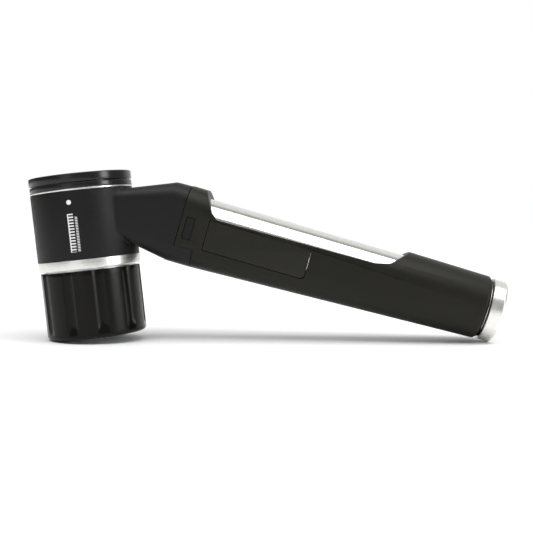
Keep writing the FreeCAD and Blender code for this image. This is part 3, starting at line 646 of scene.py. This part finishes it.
handle_moulding = carve(
    shell_form(0.0),
    ("DIFFERENCE", cylinder("bore", BORE_R, 20.0, 150.0)),
    ("DIFFERENCE", prism("cutout", cutout, -13.0, 13.0)),
    ("DIFFERENCE", prism("front_step", front_step, -20.0, 20.0)),
    ("DIFFERENCE", block("latch_room", (33.0, 41.2), (-10.05, 10.05), (-6.2, 3.2))),
    ("DIFFERENCE", block("windows", (37.0, 39.8), (-15.0, 15.0), (-5.1, 2.1))),
    ("DIFFERENCE", tongue_prism(PADDLE["gap"])))
stand_for("handle_moulding", soften(handle_moulding, 0.18), HANDLE, "handle_shell", 30.0)

tongue_leaf = carve(
    shell_form(0.0), ("INTERSECT", tongue_prism(0.0)), ("DIFFERENCE", shell_form(PADDLE["thick"])))
stand_for("tongue_leaf", soften(tongue_leaf, 0.12), HANDLE, "switch_paddle", 30.0)

# ------------------------------------------------------------------ barrel and neck

FILLET = 1.0
FILLET_STEPS = 4
SUNK = 0.04
INNER = {"x": 8.0, "z": 40.3, "half": 10.9, "low": 6.8, "top": 5.8, "round": 3.0}
KNEE = {"x": 29.5, "z": 34.7, "half": 10.95, "low": 13.2, "top": 12.0, "round": 5.6}
BEND = math.radians(22.27)
KNEE_LEAN = BEND * 0.65


def neck_ring(sizes, lean):
    """A leaning section of the neck, in the head frame."""
    slant = Matrix.Rotation(lean, 3, "Y")
    middle = Vector((sizes["x"], 0, sizes["z"]))
    return [middle + slant @ Vector((0, y, h)) for y, h in section(*(sizes[key] for key in FORM_KEYS))]


def neck_end():
    """Where the neck meets the lower part of the shell: a section of the shell's own form."""
    share = (PART_LOWER - SHELL_START) / (SHELL_END - SHELL_START)
    sizes = (FRONT[key] + (REAR[key] - FRONT[key]) * share for key in FORM_KEYS)
    return [HANDLE_IN_HEAD @ Vector((PART_LOWER, y, h)) for y, h in section(*sizes)]


def neck_skin():
    """Neck with a small fillet where it runs out of the barrel."""
    inner = neck_ring(INNER, 0.0)
    knee = neck_ring(KNEE, KNEE_LEAN)
    rings = [[] for _ in range(FILLET_STEPS + 2)]
    for i, (near, far) in enumerate(zip(inner, knee)):
        line = far - near
        a = line.x ** 2 + line.y ** 2
        b = near.x * line.x + near.y * line.y
        c = near.x ** 2 + near.y ** 2 - BARREL_R ** 2
        meet = near + line * ((-b + math.sqrt(b * b - a * c)) / a)
        before, after = inner[i - 1], inner[(i + 1) % len(inner)]
        outward = Vector((after.z - before.z, before.y - after.y)).normalized()
        flare_y, flare_z = meet.y + outward.x * FILLET, meet.z + outward.y * FILLET
        foot = Vector((math.sqrt((BARREL_R - SUNK) ** 2 - flare_y ** 2), flare_y, flare_z))
        out = meet + line.normalized() * FILLET
        buried = Vector((foot.x - 1.2, foot.y * 0.94, (foot.z - INNER["z"]) * 0.94 + INNER["z"]))
        rings[0].append(buried)
        for k in range(FILLET_STEPS + 1):
            t = k / FILLET_STEPS
            rings[k + 1].append(foot * (1 - t) ** 2 + meet * 2 * t * (1 - t) + out * t ** 2)
    return skin("neck_skin", [*rings, knee, neck_end()])


barrel = lathe("barrel", rounded([
    (14.45, BARREL_BOTTOM, 0.1), (BARREL_R, BARREL_BOTTOM, 0.15), (BARREL_R, BARREL_TOP, 0.3),
    (14.9, BARREL_TOP, 0.1), (14.9, 42.5, 0), (14.45, 42.5, 0)]))


def in_head(mesh):
    """Move a mesh drawn in the handle frame into the head frame."""
    mesh.transform(HANDLE_IN_HEAD)
    return mesh


def on_each_flank(name, along, inner, outer, up):
    """The union steps for a block on each flank of the handle."""
    return [("UNION", in_head(block(name, along, flank, up)))
            for flank in ((-outer, -inner), (inner, outer))]


upper_end = block("upper_end", (PART_UPPER, 60.0), (-20.0, 20.0), (-PART_STEP - SEAM, 20.0))
barrel_and_neck = carve(
    barrel,
    ("UNION", neck_skin()),
    ("DIFFERENCE", in_head(upper_end)),
    ("DIFFERENCE", in_head(cylinder("tube_bore", BORE_R, 28.8, 69.0))),
    ("DIFFERENCE", block("passage", (13.0, 27.5), (-7.0, 7.0), (31.0, 41.5))),
    *on_each_flank("latch", (33.0, 41.0), 9.35, 9.95, (-6.0, 3.0)),
    *on_each_flank("nub", (37.1, 39.7), 9.8, 10.4, (-5.0, 2.0)))
stand_for("barrel_and_neck", barrel_and_neck, HEAD, "head_housing", 30.0)


# ------------------------------------------------------------------ studio

FOCAL = 1000.0
FRAME_SIDE = 533.0
SENSOR = 36.0
VIEW_TARGET = Vector((0.04, 2.88, 23.79)) * MM
VIEW_DISTANCE = 327.9 * MM
VIEW_AZIMUTH = math.radians(3.0)
VIEW_ELEVATION = math.radians(3.0)
FLOOR_HALF = 4.0


def add_camera():
    data = bpy.data.cameras.new("view")
    data.sensor_width = SENSOR
    data.lens = SENSOR * FOCAL / FRAME_SIDE
    data.clip_start = 0.01
    camera = bpy.data.objects.new("view", data)
    bpy.context.scene.collection.objects.link(camera)
    back = Vector((math.sin(VIEW_AZIMUTH) * math.cos(VIEW_ELEVATION),
                   -math.cos(VIEW_AZIMUTH) * math.cos(VIEW_ELEVATION), math.sin(VIEW_ELEVATION)))
    camera.location = VIEW_TARGET + back * VIEW_DISTANCE
    camera.rotation_euler = back.to_track_quat("Z", "Y").to_euler()
    bpy.context.scene.camera = camera


def add_floor():
    mesh = bpy.data.meshes.new("floor")
    corners = [(x * FLOOR_HALF, y * FLOOR_HALF, 0) for x, y in ((-1, -1), (1, -1), (1, 1), (-1, 1))]
    mesh.from_pydata(corners, [], [(0, 1, 2, 3)])
    floor = bpy.data.objects.new("floor", mesh)
    bpy.context.scene.collection.objects.link(floor)
    paint = Paint("white_table", Roughness=0.6)
    paint.surface.inputs["Base Color"].default_value = grey(0.96)
    mesh.materials.append(paint.material)


# Light levels of the room by direction in degrees: overhead from back to front, round the walls
# from the front, and in the overhead light at either side of the wide box.
OVERHEAD = (
    (-180, 0.15), (-90, 0.26), (-50, 0.235), (-30, 0.22), (-16, 0.08), (-10, 0.11), (-4, 1.0), (33, 1.0),
    (38, 0.075), (90, 0.07), (180, 0.07))
WALLS = (
    (-180, 0.34), (-172, 0.34), (-160, 0.07), (-70, 0.05), (-36, 0.12), (-26, 0.36), (-12, 0.4), (-4, 0.16),
    (40, 0.1), (54, 0.14), (62, 1.0), (76, 1.0), (82, 0.16), (100, 0.12), (118, 0.12), (130, 0.22),
    (142, 0.34), (168, 0.36), (180, 0.34))
OVERHEAD_SIDES = ((-75, 0.0), (-55, 0.3), (60, 0.3), (80, 0.0))


def painted(room, direction, levels):
    """Grey levels painted round the room by a direction in degrees."""
    return room.ramp(direction / 360 + 0.5, *[(at / 360 + 0.5, grey(level)) for at, level in levels])


def add_world():
    """White room: a box of light overhead, soft light beside it, dim walls and a key light."""
    world = bpy.data.worlds.new("studio")
    world.use_nodes = True
    bpy.context.scene.world = world
    room = Recipe(world.node_tree)
    background = world.node_tree.nodes["Background"]
    x, y, z = room.parts(room.node("ShaderNodeTexCoord", {}, {}, "Generated"))
    front = 0 - y
    over = front.direction(z)
    around = x.direction(front)
    beside = room.span(x.distance(), 0.45, 0.62, 0.0, 1.0)
    high = room.span(z, 0.45, 0.6, 0.0, 1.0)
    overhead = room.blend(beside, painted(room, over, OVERHEAD), painted(room, over, OVERHEAD_SIDES))
    glow = room.blend(high, painted(room, around, WALLS), overhead)
    seen = room.node("ShaderNodeLightPath", {}, {}, "Is Camera Ray")
    world.node_tree.links.new(room.blend(seen, glow, grey(1.0)).socket, background.inputs["Color"])
    key = room.band(around, 62.0, 76.0, 4.0) * room.span(z, 0.0, 0.09, -0.55, 1.0)
    strip = room.band(around, 15.0, 27.0, 3.0) * room.band(z, -0.2, 0.04, 0.04)
    strength = seen + (1 - seen) * (2.6 + high * 0.9 + (1 - high) * (key * 5.0 + strip * 4.0))
    world.node_tree.links.new(strength.socket, background.inputs["Strength"])


bpy.context.scene.view_settings.view_transform = "Standard"
add_camera()
add_floor()
add_world()
